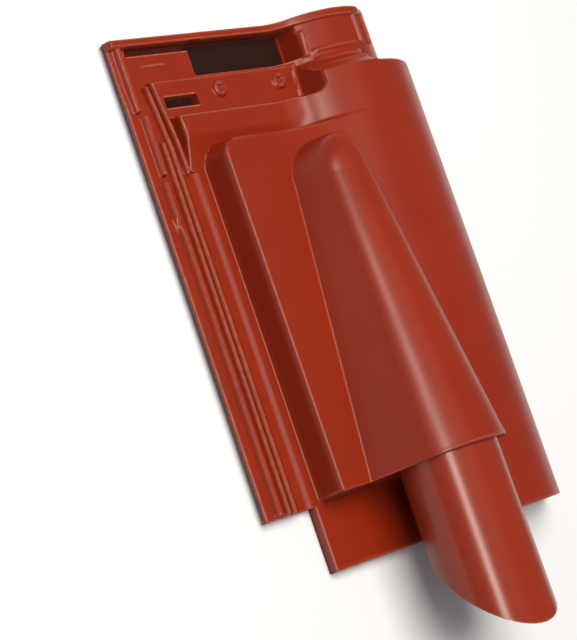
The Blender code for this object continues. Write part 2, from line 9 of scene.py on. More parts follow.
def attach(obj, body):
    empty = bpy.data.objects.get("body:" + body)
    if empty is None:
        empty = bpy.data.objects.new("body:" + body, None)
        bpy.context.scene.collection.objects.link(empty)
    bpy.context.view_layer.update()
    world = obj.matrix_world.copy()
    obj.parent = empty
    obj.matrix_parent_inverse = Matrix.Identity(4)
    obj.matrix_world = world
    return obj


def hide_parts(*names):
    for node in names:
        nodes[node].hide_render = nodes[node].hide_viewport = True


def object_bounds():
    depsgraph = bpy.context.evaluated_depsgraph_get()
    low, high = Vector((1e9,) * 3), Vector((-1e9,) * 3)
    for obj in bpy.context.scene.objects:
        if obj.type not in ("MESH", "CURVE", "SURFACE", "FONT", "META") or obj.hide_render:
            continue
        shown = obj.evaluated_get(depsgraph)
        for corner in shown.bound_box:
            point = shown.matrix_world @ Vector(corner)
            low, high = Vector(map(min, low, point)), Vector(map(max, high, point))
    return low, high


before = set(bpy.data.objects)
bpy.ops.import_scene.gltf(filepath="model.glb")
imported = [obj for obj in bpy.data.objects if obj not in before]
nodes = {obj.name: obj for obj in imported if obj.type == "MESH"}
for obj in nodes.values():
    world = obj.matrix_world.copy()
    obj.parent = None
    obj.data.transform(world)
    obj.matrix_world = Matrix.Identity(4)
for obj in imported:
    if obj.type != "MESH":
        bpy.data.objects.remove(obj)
box_at_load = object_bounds()
print("frame nodes:", sorted(nodes))

# %% [markdown]
# Sizes are in millimetres, in the tile's own axes: X from the outer edge of the left interlock, Y up the slope
# from the pan's front edge, Z up from the floor. One shift at the end puts them into the frame. All walls of a
# moulding lean by a small draft so that it leaves its mould, and every edge is slightly round.
# %% Sizes
LENGTH, OUTLET_REACH = 430.0, 84.0
WALL = 3.0
SHEET, HEAD_SHEET, NAIL_PLATE, PLATE, PANEL = 9.0, 8.0, 14.0, 20.0, 35.0
ROLL_X, ROLL_DROP, ROLL_R, ROLL_LEFT_R, HEAD_ROLL_R = 222.0, 20.0, 79.5, 50.0, 58.5
COVE, LEFT_COVE, PANEL_COVE = 34.0, 14.0, 120.0
ROLL_END = 376.0
RIGHT = ROLL_X + math.sqrt(ROLL_R ** 2 - ROLL_DROP ** 2)
HEAD_RIGHT = ROLL_X + math.sqrt(HEAD_ROLL_R ** 2 - ROLL_DROP ** 2)
PAN_LEFT, INTERLOCK_FRONT = 49.0, 50.5
HOOD_X, HOOD_MOUTH, HOOD_ROUND, HOOD_TIP = 146.0, 55.0, 289.0, 322.0
HOOD_R, HOOD_AXIS, HOOD_FLANK, HOOD_TAPER, MOUTH_LEAN = 44.0, 27.0, math.radians(66.0), 0.568, 0.03
TUBE_Z, TUBE_R = 62.0, 39.5
LEFT_UNDER = 5.6
ORIGIN = Vector((RIGHT / 2, (LENGTH - OUTLET_REACH) / 2, 0.0))
INTO_FRAME = Matrix.Scale(0.001, 4) @ Matrix.Translation(-ORIGIN)
print(f"tile {RIGHT:.1f} x {LENGTH:.1f} mm")

# %% [markdown]
# A moulded wall in section is a hollow fillet at the foot, a drafted wall and a rounded edge at the top. The
# steel of the mould is milled with round cutters, so no corner of the real tile is sharp. This profile runs from
# 0 at the foot to 1 at the top, and every raised form of the tile uses it.
# %% Profile of a wall


def arc_points(centre, radius, start, end, steps):
    turn = np.radians(np.linspace(start, end, steps + 1))
    return np.column_stack((centre[0] + radius * np.cos(turn), centre[1] + radius * np.sin(turn)))


def wall_profile(height, draft, foot, edge):
    """Distances from the wall's foot line, and the share of the height reached there."""
    foot = min(foot, height / 2.2)
    edge = min(edge, height / 2.2)
    hollow = arc_points((-foot, foot), foot, -90, 0, 4)
    crown = arc_points((draft + edge, height - edge), edge, 180, 90, 4)
    points = np.vstack((hollow, crown))
    return points[:, 0], points[:, 1] / height


def rise(distance, height, draft=1.0, foot=1.5, edge=1.2):
    along, share = wall_profile(height, draft, foot, edge)
    return np.interp(distance, along, share)


print("a 26 mm wall in section:", np.round(wall_profile(26.0, 3.0, 1.5, 2.0)[0], 2))

# %% [markdown]
# The roll is the big half pipe at the right, which covers the joint with the next tile. A hollow cove leads from
# the level sheet up into it, so the section is three arcs that meet without a kink.
# %% Section of the roll


def roll_height(x, level, radius, left_radius, cove, skin=0.0):
    """Height of a sheet that rises into the roll through a hollow cove."""
    level, radius, left_radius, cove = level - skin, radius - skin, left_radius - skin, cove + skin
    crest = radius - ROLL_DROP
    up = level + cove - (crest - left_radius)
    run = math.sqrt((left_radius + cove) ** 2 - up ** 2)
    meet = math.degrees(math.atan2(up, -run))
    hollow = arc_points((ROLL_X - run, level + cove), cove, -90, meet - 180, 24)
    left = arc_points((ROLL_X, crest - left_radius), left_radius, meet, 90, 40)[1:]
    right = arc_points((ROLL_X, -ROLL_DROP), radius, 90, math.degrees(math.asin(ROLL_DROP / radius)), 60)[1:]
    line = np.vstack((hollow, left, right))
    return np.interp(x, line[:, 0], line[:, 1], left=level, right=0.0)


print(f"roll crest: {float(roll_height(ROLL_X, SHEET, ROLL_R, ROLL_LEFT_R, LEFT_COVE)):.1f} mm")

# %% [markdown]
# A few small rules carry all the relief. A form is added over what lies below it or cut under it, by a share
# that runs from 0 outside the form to 1 on it. A rib is a soft hump across its line, faded out at its ends.
# %% Rules for relief


def inside_box(x, y, span_x, span_y, corner=1.0):
    """Distance inwards from the outline of a rectangle with round corners."""
    mid_x, mid_y = sum(span_x) / 2, sum(span_y) / 2
    over_x = np.abs(x - mid_x) - (span_x[1] - span_x[0]) / 2 + corner
    over_y = np.abs(y - mid_y) - (span_y[1] - span_y[0]) / 2 + corner
    outside = np.hypot(np.maximum(over_x, 0), np.maximum(over_y, 0))
    return corner - outside - np.minimum(np.maximum(over_x, over_y), 0)


def smooth_max(a, b, blend_width):
    share = np.clip(0.5 + 0.5 * (a - b) / blend_width, 0, 1)
    return b + (a - b) * share + blend_width * share * (1 - share)


def over(base, target, share):
    return base + (np.maximum(base, target) - base) * share


def under(base, target, share):
    return base + (np.minimum(base, target) - base) * share


def eased(share):
    share = np.clip(share, 0, 1)
    return share * share * (3 - 2 * share)


def rib(x, centre, half):
    """A low rib across x: soft flanks and a round back."""
    return eased((1.25 - np.abs((x - centre) / half)) / 0.85)


def along_path(y, path):
    """Where a line that bends in plan runs, for each place up the slope."""
    points = np.array(sorted(path, key=lambda point: point[1]))
    return np.interp(y, points[:, 1], points[:, 0])


def between(value, low, high, ease=1.2):
    """1 between two places, easing to 0 just outside them."""
    return np.clip((value - low) / ease, 0, 1) * np.clip((high - value) / ease, 0, 1)


print("a rib of 5 mm in section:", np.round(rib(np.linspace(-3, 3, 7), 0.0, 2.4), 2))

# %% [markdown]
# The hood is a tapered arch on two leaning flanks, as wide as the outlet at its mouth and rounded off at its
# upper end. A taper lets the water from above run off on both sides, and it keeps the moulding stiff. On the side
# of the roll the arch is a little fuller, so that it meets the roll high up and leaves no trough for dirt.
# %% Hood
FULLER_BY = 0.15
TIP_CURVE, TIP_CURVE_INSIDE = 0.38, 0.7


def hood_height(x, y, skin=0.0):
    """Height of the hood's outside over the floor, or of its inside with a skin; far below where there is none."""
    beyond = np.clip((y - HOOD_ROUND) / (HOOD_TIP - skin - HOOD_ROUND), 0, 1)
    cosine = np.sqrt(np.maximum(1 - beyond ** 2, 1e-6))
    straight = 1 - (1 - HOOD_TAPER) * np.clip((y - HOOD_MOUTH) / (HOOD_ROUND - HOOD_MOUTH), 0, 1)
    width = straight * cosine - skin / (HOOD_R + 4)
    high = straight * cosine ** (TIP_CURVE_INSIDE if skin else TIP_CURVE) - skin / (HOOD_R + HOOD_AXIS)
    to_mouth = np.clip((HOOD_TIP - y) / (HOOD_TIP - HOOD_MOUTH), 0, 1)
    fuller = 1 + (0 if skin else FULLER_BY) * to_mouth * (x > HOOD_X)
    across = np.abs(x - HOOD_X) / np.maximum(width * fuller, 0.02)
    tangent_x, tangent_z = HOOD_R * math.sin(HOOD_FLANK), HOOD_AXIS + HOOD_R * math.cos(HOOD_FLANK)
    arch = HOOD_AXIS + np.sqrt(np.maximum(HOOD_R ** 2 - across ** 2, 0))
    flank = tangent_z - (across - tangent_x) * math.tan(HOOD_FLANK)
    lift = np.where(across < tangent_x, arch, flank)
    return PANEL + np.where(lift > 0, lift * high, lift)


print(f"hood crest at the mouth: {float(hood_height(HOOD_X, HOOD_MOUTH)):.1f} mm")

# %% [markdown]
# The top of the tile is one surface without undercuts, because the mould opens straight up. So it can be drawn
# as one height over each spot. First come the level sheet with the roll, the plate that ramps up towards the
# head, the channel beside it that carries rain water, and the raised panel on which the hood stands.
# %% Sheet, roll, plate, channel and panel
RAMP_FRONT, RAMP_RUN = 320, 27
PLATE_LEFT, PLATE_BACK = ((40, 320), (37, 364)), 364.5
CHANNEL_X = (30.5, 31.5, 34.5, 35.5, 41.5, 42.8, 46.2, 47.4)
CHANNEL_SHARE, CHANNEL_DEPTH, CHANNEL_BACK = (0, 0.1, 0.9, 1, 1, 0.9, 0.1, 0), 2.6, 366
PANEL_X, PANEL_Y, PANEL_BRIM = (54.5, 400), (52, 338), 0.9
BRIM_FADE_X, BRIM_FADE = 186, 26


def body_height(x, y):
    low_flank = roll_height(x, SHEET, ROLL_R, ROLL_R, COVE)
    body = np.where(y > 330, low_flank, roll_height(x, SHEET, ROLL_R, ROLL_LEFT_R, LEFT_COVE))
    ramp = np.clip((y - RAMP_FRONT) / RAMP_RUN, 0, 1)
    ramp = ramp ** 1.15 * rise(x - along_path(y, PLATE_LEFT), 11, 1.2) * rise(PLATE_BACK - y, 11, 1.2)
    body = over(body, roll_height(x, PLATE, ROLL_R, ROLL_R, COVE), ramp)
    channel = CHANNEL_DEPTH * np.interp(x, CHANNEL_X, CHANNEL_SHARE)
    body = np.where(body < SHEET + 0.1, body - channel * np.clip((CHANNEL_BACK - y) / 2, 0, 1), body)
    corner = np.where(y > 200, 16.0, 5.0)
    panel = rise(inside_box(x, y, PANEL_X, PANEL_Y, corner), PANEL - SHEET, 2.4, 1.6, 1.8)
    brim = PANEL_BRIM * (1 - eased((x - BRIM_FADE_X) / BRIM_FADE))
    return over(body, roll_height(x, PANEL, ROLL_R, ROLL_R, PANEL_COVE) + brim, panel)


print("panel beside the hood:", np.round(body_height(np.array([75.0]), np.array([200.0])), 1), "mm high")

# %% [markdown]
# The head is the sunken part that the next tile up the slope covers. Its own roll is smaller, so that it fits
# below the next one, and low ribs on it stop rain that the wind drives up. A rim along the edge is the last dam.
# %% Head
CROSS_RIBS, CROSS_RIB_HEIGHT = (384.0, 391.0, 398.5), 1.8
ROLL_RIBS, ROLL_RIB_HEIGHT = (235.0, 248.6), 2.0
HEAD_RIM_Y, HEAD_RIM_HEIGHT, HEAD_RIM_RIGHT = 423, 5, 250


def head_height(x, y):
    head = roll_height(x, HEAD_SHEET, HEAD_ROLL_R, HEAD_ROLL_R, COVE)
    slope = np.clip((391 - y) / 15, 0, 1) * np.clip((230 - x) / 8, 0, 1)
    head = head + (roll_height(x, SHEET, ROLL_R, ROLL_R, COVE) - head) * slope
    for rib_y in CROSS_RIBS:
        head = head + CROSS_RIB_HEIGHT * rib(y, rib_y, 1.9) * between(x, 186, 230, 4)
    for rib_x in ROLL_RIBS:
        head = head + ROLL_RIB_HEIGHT * rib(x, rib_x, 2.2) * between(y, 397, 426, 2)
    rim_roll = HEAD_ROLL_R + 2.5
    rim_height = roll_height(x, SHEET + HEAD_RIM_HEIGHT, rim_roll, rim_roll, COVE)
    ends = np.clip((HEAD_RIM_RIGHT - x) / 8, 0, 1) * eased(x / 2.2)
    return over(head, rim_height, rise(y - HEAD_RIM_Y, 6, 0.6, 1.4, 1.4) * ends)


print("head sheet:", np.round(head_height(np.array([60.0]), np.array([400.0])), 1), "mm high")

# %% [markdown]
# The nail plate is a raised strip with two bosses, through which the tile is nailed to its batten. Behind it lies
# the pocket of the lug that hangs the tile on the batten: seen from above it is a deep hole, always in shadow.
# The slot and the groove along the rim save plastic where the wall would otherwise be too thick.
# %% Nail plate, pocket, slot and groove
BOSSES, BOSS_RADIUS, PIT_RADIUS = ((90.5, 381.5), (153.0, 382.0)), 6.8, 3.0
EDGE_RIB = ((36.6, 322.0), (29.2, 371.0), (26.4, 394.0))
CLEARED_X, CLEARED_BACK = (-60, 174.6), 395
NAIL_PLATE_X, NAIL_PLATE_Y = (24, 173), (362, 394.5)
POCKET_X, POCKET_Y, POCKET_FLOOR = (77.5, 181.0), (397.0, 423.6), 1.4
SLOT_X, SLOT_Y, SLOT_FLOOR = (34, 66), (371.5, 380), 4.4
GROOVE_X, GROOVE_Y, GROOVE_FLOOR = (16, 90), (417.5, 423.6), 3.4
DASH_X, DASH_Y, DASH_HEIGHT = (27, 53), 408.4, 1.3
NAIL_PLATE_RIB, POCKET_RIB = ((173, 396), (171.5, 366)), ((183.4, 417), (182.2, 394))


def nail_plate_height(x, y, z):
    """The space cleared in front of the head, and in it the nail plate with its rib at the right."""
    front = PLATE_BACK - 3 * eased((x - 148) / 16)
    inset = np.minimum(inside_box(x, y, CLEARED_X, (350, CLEARED_BACK), 0.5),
                       inside_box(x, y - front, CLEARED_X, (0, 60), 7.0))
    z = under(z, NAIL_PLATE, rise(inset, 20, 0.8, 1.0, 2.6))
    straight = x - np.where(x < 60, along_path(y, EDGE_RIB) - 25.6, 0.0)
    plate = inside_box(straight, y, NAIL_PLATE_X, NAIL_PLATE_Y, 3.5)
    z = over(z, NAIL_PLATE, rise(plate, 6, 0.8, 1.2, 1.4))
    return over(z, NAIL_PLATE + 2.2, rib(x, along_path(y, NAIL_PLATE_RIB), 2.0) * between(y, 366, 395))


def bosses_and_pockets(x, y, z):
    for boss_x, boss_y in BOSSES:
        far = np.hypot(x - boss_x, y - boss_y)
        z = over(z, NAIL_PLATE + 3.2, rise(BOSS_RADIUS - far, 3.2, 0.6, 1.0, 1.0))
        z = under(z, NAIL_PLATE + 0.4, rise(PIT_RADIUS - far, 2.8, 0.4, 0.4, 0.5))
    z = under(z, GROOVE_FLOOR, rise(inside_box(x, y, GROOVE_X, GROOVE_Y, 0.6), 5, 0.5, 0.5, 0.8))
    z = under(z, POCKET_FLOOR, rise(inside_box(x, y, POCKET_X, POCKET_Y, 1.0), 8, 0.5, 0.6, 1.0))
    z = z + 2.4 * rib(x, along_path(y, POCKET_RIB), 2.2) * between(y, 395, 418, 2)
    z = z + DASH_HEIGHT * rib(y, DASH_Y, 1.5) * between(x, *DASH_X, 2) * (x < 60)
    return under(z, SLOT_FLOOR, rise(inside_box(x, y, SLOT_X, SLOT_Y, 1.0), 9, 0.4, 0.8, 0.8))


print(len(BOSSES), "bosses; pocket", POCKET_X[1] - POCKET_X[0], "mm long")

# %% [markdown]
# The interlock at the left lies below the roll's edge of the neighbour. Its ribs run up the slope and catch the
# water that gets in at the side; the outer one is broken, so that the neighbour's ribs can pass. With them the
# drawing of the top is complete, and the hood is blended on with a soft bead along its foot.
# %% Ribs of the interlock, and the whole top
INNER_RIBS = (((20.5, 51.0), (20.5, 347.0)), ((26.5, 51.0), (26.5, 341.0), (24.0, 372.5), (22.0, 392.0)))
OUTER_RIB = ((12.0, 52.0, 279.0), (10.6, 281.0, 316.0), (12.5, 320.0, 369.0), (8.0, 371.0, 426.0))
RIB_HEIGHT = 4
EDGE_RIB_Y, EDGE_RIB_TOPS = (322, 345, 371, 393), (11.0, 14.2, 15.4, 15.6)
FOOT_BEAD = 0.7


def ribs_of_interlock(x, y, z):
    """The broken outer rib, the two inner ribs, and the rib along the nail plate's left edge."""
    for centre, front, end in OUTER_RIB:
        z = over(z, SHEET + RIB_HEIGHT, rib(x, centre, 3.0) * between(y, front, end))
    for path in INNER_RIBS:
        ends = (min(point[1] for point in path), max(point[1] for point in path))
        z = over(z, SHEET + RIB_HEIGHT, rib(x, along_path(y, path), 2.4) * between(y, *ends, 1.5))
    tops = np.interp(y, EDGE_RIB_Y, EDGE_RIB_TOPS)
    return over(z, tops, rib(x, along_path(y, EDGE_RIB), 2.3) * between(y, 318, 394, 2))


def top_height(x, y):
    head = head_height(x, y)
    body = body_height(x, y)
    after = np.where(x < 224, body, head)
    z = np.where(y <= ROLL_END, after + (body - after) * rise(ROLL_END - y, 20, 0.4, 0.0, 1.5), head)
    z = ribs_of_interlock(x, y, bosses_and_pockets(x, y, nail_plate_height(x, y, z)))
    outside = hood_height(x, y)
    foot_bead = FOOT_BEAD * np.exp(-((outside - z - 1.5) / 3.0) ** 2)
    hood = np.where(y < HOOD_TIP, smooth_max(outside, z, 1.6) + foot_bead, z)
    return z + (np.maximum(hood, z) - z) * rise(y - HOOD_MOUTH, 40, 0.25, 0.0, 2.0)


along_hood = top_height(np.full(5, HOOD_X), np.array([20, 53, 70, 200, 330.0]))
print("heights along the middle of the hood:", np.round(along_hood, 1))

# %% [markdown]
# The lines of the mesh lie close together where a wall or a rib needs them, and wide apart where the sheet is
# level. That is how a shape with 2 mm edges on a 430 mm body stays light enough to reuse.
# %% Lines of the mesh


def lines(spans, marks):
    """Positions: every span is divided evenly, and each mark adds a few lines close around it."""
    found = []
    for start, end, step in spans:
        count = max(1, round((end - start) / step))
        found.extend(np.linspace(start, end, count + 1))
    near = np.array(sorted(m + offset for m, offsets in marks for offset in offsets))
    kept = [p for p in sorted(set(found)) if len(near) == 0 or np.min(np.abs(near - p)) > 0.3]
    ends = (spans[0][0], spans[-1][1])
    merged = sorted({round(float(v), 4) for v in (*kept, *near, *ends) if ends[0] <= v <= ends[1]})
    return np.array(merged)


columns = lines(((0, 5, 1.6), (5, 17.5, 0.7), (17.5, 46, 0.5), (46, 60, 0.9), (60, 84, 2.2), (84, 164, 1.25),
                 (164, 196, 0.8), (196, 208, 1.25), (208, 225, 2.0), (225, 255, 0.9), (255, 292, 2.0),
                 (292, RIGHT, 0.6)),
                ((PAN_LEFT, (-0.6, 0.0, 0.3, 0.9)), (54.5, (-1.6, -0.8, 0.0, 0.6, 1.8, 2.4, 3.0, 4.2)),
                 (0, (0.3, 0.9)), (77.5, (0.0, 0.5, 1.2)),
                 (85.8, (-3.0, -2.4, -1.8, -1.2, -0.6, 0.0, 0.6, 1.2, 1.8)),
                 (206.2, (-2.4, -1.2, 0.0, 1.2, 2.4)), (181, (-1.2, -0.5, 0.0)),
                 (173, (-0.8, 0.0)), (174.5, (-1.0, -0.4, 0.0))))
rows = lines(((0, 48, 4.0), (48, 51, 1.0), (51, 62, 0.9), (62, 286, 4.2), (286, 312, 1.4), (312, 326, 0.8),
              (326, 333, 1.2), (333, 346, 0.8), (346, 360, 1.6), (360, LENGTH, 0.7)),
             ((0, (0.3, 0.8, 1.5)), (INTERLOCK_FRONT, (-0.6, 0.0, 0.3, 0.8)), (52, (-1.6, -0.8, 0.0, 0.6, 1.8, 2.4)),
              (HOOD_MOUTH, (0.0, 0.03, 0.22, 0.25, 0.4, 0.8, 1.4, 2.3)), (338, (-2.4, -1.8, -0.6, 0.0, 0.8, 1.6)),
              (ROLL_END, (-1.9, -1.2, -0.8, -0.5, -0.4, -0.36, -0.04, 0.0, 0.02)),
              (PLATE_BACK, (-1.2, -0.5, 0.0, 0.8)), (LENGTH, (-1.5, -0.8, -0.3))))
print(len(columns), "columns,", len(rows), "rows")

# %% [markdown]
# A rib that runs askew across straight lines of a mesh gets a stepped edge. So the lines bend with the ribs at
# the left and with the hood's foot, and they close up where the head's roll is narrower than the body's.
# %% Bent lines
HOOD_FOOT = 60.2


def outline_inset(x, y):
    """Distance inwards from the tile's outline."""
    right = np.where(y <= ROLL_END, RIGHT, HEAD_RIGHT)
    plain = np.minimum.reduce([x, y, LENGTH - y, right - x])
    notch = np.maximum(x - PAN_LEFT, y - INTERLOCK_FRONT)
    return np.minimum(plain, notch)


def shifted_columns(x, y):
    bent = np.clip((y - 300) / 22, 0, 1)
    inner = along_path(y, INNER_RIBS[1]) - 26.5
    edge = (along_path(y, EDGE_RIB) - 33.5) * bent
    plate = (along_path(y, PLATE_LEFT) - 38.0) * bent
    taper = np.interp(y, (HOOD_MOUTH, HOOD_ROUND, HOOD_TIP + 2, 352), (1, HOOD_TAPER, HOOD_TAPER, 1))
    foot = HOOD_FOOT * (1 - taper)
    still = np.zeros_like(y)
    places = (17.5, 23.2, 28.6, 31.4, 35.6, 37.2, 38.8, 46.0, 62.0, 85.8, HOOD_X, 206.2, 219.0)
    shifts = (still, inner, inner, edge, edge, plate, plate, still, still, foot, still, -foot, still)
    shift = still
    for low, high, first, last in zip(places, places[1:], shifts, shifts[1:]):
        along = (x - low) / (high - low)
        shift = np.where((along > 0) & (along <= 1), first + (last - first) * along, shift)
    share = np.clip((x - 255) / (RIGHT - 255), 0, 1)
    return np.where(y > ROLL_END, x + shift - share * (RIGHT - HEAD_RIGHT), x + shift)


print("the hood's foot moves in by", round(HOOD_FOOT * (1 - HOOD_TAPER), 1), "mm towards its tip")

# %% [markdown]
# A level grid is pulled up to the heights. The corner in front of the interlock is left out, and the outer edges
# are rounded by letting the height fall along a quarter circle.
# %% Top of the tile
EDGE_ROUND = 1.3


def grid_of(lines_x, lines_y, height):
    """A mesh grid on the crossing lines, lifted to a height over each spot."""
    mesh = bmesh.new()
    bmesh.ops.create_grid(mesh, x_segments=len(lines_x) - 1, y_segments=len(lines_y) - 1, size=0.5)
    spots = np.array([vert.co[:2] for vert in mesh.verts])
    index_x = np.rint((spots[:, 0] + 0.5) * (len(lines_x) - 1)).astype(int)
    index_y = np.rint((spots[:, 1] + 0.5) * (len(lines_y) - 1)).astype(int)
    y = lines_y[index_y]
    x = shifted_columns(lines_x[index_x], y)
    z = height(x, y)
    for vert, px, py, pz in zip(mesh.verts, x, y, z):
        vert.co = (px, py, max(pz, 0.0))
    gone = [f for f in mesh.faces
            if f.calc_center_median().x < PAN_LEFT and f.calc_center_median().y < INTERLOCK_FRONT]
    bmesh.ops.delete(mesh, geom=gone, context="FACES")
    return mesh


def rounded_top(x, y):
    z = top_height(x, y)
    into_edge = np.maximum(EDGE_ROUND - outline_inset(x, y), 0)
    drop = EDGE_ROUND - np.sqrt(np.maximum(EDGE_ROUND ** 2 - into_edge ** 2, 0))
    on_roll = x > ROLL_X + 60
    return np.where(on_roll & (y > 2) & (y < LENGTH - 2), z, np.minimum(z, np.maximum(z - drop, 0)))


top = grid_of(columns, rows, rounded_top)
for vert in top.verts:
    into = vert.co.y - HOOD_MOUTH
    over_panel = vert.co.z - PANEL
    if -0.01 < into < 6 and over_panel > 0 and abs(vert.co.x - HOOD_X) < 62:
        vert.co.y += MOUTH_LEAN * over_panel * max(0.0, 1 - max(into - 2.3, 0) / 3.7)
print("top:", len(top.faces), "faces")

# %% [markdown]
# The rim is drawn down to the floor, where the real tile has its skirt. A moulding's skirt has a small step below
# its upper band, where the two halves of the mould meet. The left edge is only a thin sheet: the neighbour's roll
# lies over it, and light passes below.
# %% Skirt
SKIRT_BAND, SKIRT_STEP = 4.5, 0.7


def drawn_down(edges):
    """Extrudes boundary edges, and gives back the new vertices and edges."""
    made = bmesh.ops.extrude_edge_only(top, edges=edges)["geom"]
    return ([item for item in made if isinstance(item, bmesh.types.BMVert)],
            [item for item in made if isinstance(item, bmesh.types.BMEdge)])


def moved_in(x, y, step):
    """A place on the outline moved inwards, away from each edge it lies on."""
    if abs(x - PAN_LEFT) < 0.01 and y < INTERLOCK_FRONT + 0.01:
        x += step
    if abs(y - INTERLOCK_FRONT) < 0.01 and x < PAN_LEFT + 0.01 or y < 0.01:
        y += step
    return x, y - step if y > LENGTH - 0.01 else y


rim = [edge for edge in top.edges if edge.is_boundary and max(vert.co.z for vert in edge.verts) > 0.05]
verts, edges = drawn_down(rim)
stepped = set()
for vert in verts:
    open_end = vert.co.y < 0.01 and vert.co.z > SHEET + 1.5
    at_left = vert.co.x < 0.01
    if not (open_end or at_left) and vert.co.z > SKIRT_BAND:
        stepped.add(vert)
    vert.co.z = LEFT_UNDER if at_left else vert.co.z - WALL if vert.co.z > SKIRT_BAND else 0.0
verts, edges = drawn_down([edge for edge in edges if edge.is_boundary and all(v in stepped for v in edge.verts)])
for vert in verts:
    vert.co.x, vert.co.y = moved_in(vert.co.x, vert.co.y, SKIRT_STEP)
    vert.co.z -= 0.2
verts, edges = drawn_down([edge for edge in edges if edge.is_boundary and all(v in verts for v in edge.verts)])
for vert in verts:
    vert.co.z = 0.0
print("top with its skirt:", len(top.faces), "faces")

# %% [markdown]
# Looked at from below, the real tile is hollow: the wall follows the top at an even thickness, so that the
# plastic sets evenly and the tile stays light. The underside is the same drawing with every form one wall smaller.
# %% Underside


def hollow_height(x, y):
    """The top's main forms, one wall smaller."""
    body = roll_height(x, SHEET, ROLL_R, ROLL_LEFT_R, LEFT_COVE, WALL)
    hollow_x, hollow_y = (PANEL_X[0] + WALL, PANEL_X[1]), (PANEL_Y[0] + WALL, PANEL_Y[1] - WALL)
    panel = rise(inside_box(x, y, hollow_x, hollow_y, 8.0), PANEL - SHEET, 2.4, 1.0, 1.0)
    body = over(body, roll_height(x, PANEL, ROLL_R, ROLL_R, PANEL_COVE, WALL), panel)
    plate = np.clip((y - 324) / 25, 0, 1) * rise(x - 40, 11, 1.2) * rise(PLATE_BACK - WALL - y, 11, 1.2)
    body = over(body, roll_height(x, PLATE, ROLL_R, ROLL_R, COVE, WALL), plate)
    head = roll_height(x, HEAD_SHEET, HEAD_ROLL_R, HEAD_ROLL_R, COVE, WALL)
    z = np.where(y <= ROLL_END - WALL, body, head)
    hood = hood_height(x, y, WALL)
    return np.where((y > HOOD_MOUTH + WALL) & (y < HOOD_TIP - WALL), np.maximum(z, hood), z)


def under_height(x, y):
    """The hollow, kept below the channel, the groove, the pocket and the cleared space, and closed at the rim."""
    z = hollow_height(x, y)
    z = under(z, 3.2, (x < 54) * 1.0)
    z = np.where((x > 12) & (x < 90) & (y > 414), np.minimum(z, 1.6), z)
    z = np.where((x > 74) & (x < 184) & (y > 394) & (y < 426), 0.0, z)
    z = np.where((x > 171) & (x < 210) & (y > 364) & (y < 396), np.minimum(z, 7.0), z)
    open_end = (y < 4) & (x > 196)
    z = np.where((outline_inset(x, y) < WALL - 0.05) & ~open_end, 0.0, z)
    at_left = (x < WALL) & (y > INTERLOCK_FRONT + WALL) & (y < LENGTH - WALL)
    return np.where(at_left | ((x < 0.01) & (y >= INTERLOCK_FRONT)), LEFT_UNDER, z)


under_columns = lines(((0, 60, 3.0), (60, 84, 6.0), (84, 208, 3.5), (208, 292, 4.0), (292, RIGHT, 1.2)),
                      ((0, (2.9, 3.2)), (PAN_LEFT, (0.0, 2.9, 3.2)), (57.5, (0.0, 2.4)), (RIGHT, (-3.2, -2.9))))
under_rows = lines(((0, 48, 8.0), (48, 62, 1.5), (62, 286, 9.0), (286, 326, 2.5), (326, LENGTH, 3.5)),
                   ((0, (2.9, 3.2)), (INTERLOCK_FRONT, (0.0, 2.9, 3.2)), (HOOD_MOUTH + WALL, (-0.1, 0.1)),
                    (ROLL_END, (-3.05, -2.95, 0.0, 0.02)), (LENGTH, (-3.2, -2.9))))
bottom = grid_of(under_columns, under_rows, under_height)
bmesh.ops.reverse_faces(bottom, faces=bottom.faces[:])
print("underside:", len(bottom.faces), "faces")

# %% [markdown]
# The bore for the tube goes through the mouth wall. The mesh around it is drawn back onto a circle that lies
# inside the tube's wall, so the opening is clean from both sides.
# %% Bore and joining


def open_bore(mesh, radius):
    def far(co):
        return math.hypot(co.x - HOOD_X, co.z - TUBE_Z)
    inside = [f for f in mesh.faces
              if all(INTERLOCK_FRONT < v.co.y < HOOD_MOUTH + 8 and far(v.co) < radius for v in f.verts)]
    bmesh.ops.delete(mesh, geom=inside, context="FACES")
    for vert in mesh.verts:
        if INTERLOCK_FRONT < vert.co.y < HOOD_MOUTH + 8 and far(vert.co) < radius:
            grow = radius / max(far(vert.co), 0.1)
            vert.co.x = HOOD_X + (vert.co.x - HOOD_X) * grow
            vert.co.z = TUBE_Z + (vert.co.z - TUBE_Z) * grow


open_bore(top, TUBE_R - 1.0)
open_bore(bottom, TUBE_R - 1.0)
tile_data = bpy.data.meshes.new("tile_moulding")
bottom.to_mesh(tile_data)
bottom.free()
top.from_mesh(tile_data)
bmesh.ops.transform(top, matrix=INTO_FRAME, verts=top.verts[:])
for vert in top.verts:
    vert.co.x = min(vert.co.x, box_at_load[1][0])
top.to_mesh(tile_data)
top.free()
tile = bpy.data.objects.new("tile_moulding", tile_data)
bpy.context.scene.collection.objects.link(tile)
tile_data.polygons.foreach_set("use_smooth", [True] * len(tile_data.polygons))
tile_data.set_sharp_from_angle(angle=math.radians(48))
print("tile:", len(tile_data.polygons), "faces")

# %% [markdown]
# The outlet tube is extruded pipe, cut on the slant with a saw, and the lip is a flat plate welded just inside
# the cut end. Both have small round edges, which catch the light as thin lines.
# %% Tube and lip
SOFT_EDGE, SOFT_STEPS, SHARP_DEGREES = 0.0005, 3, 35


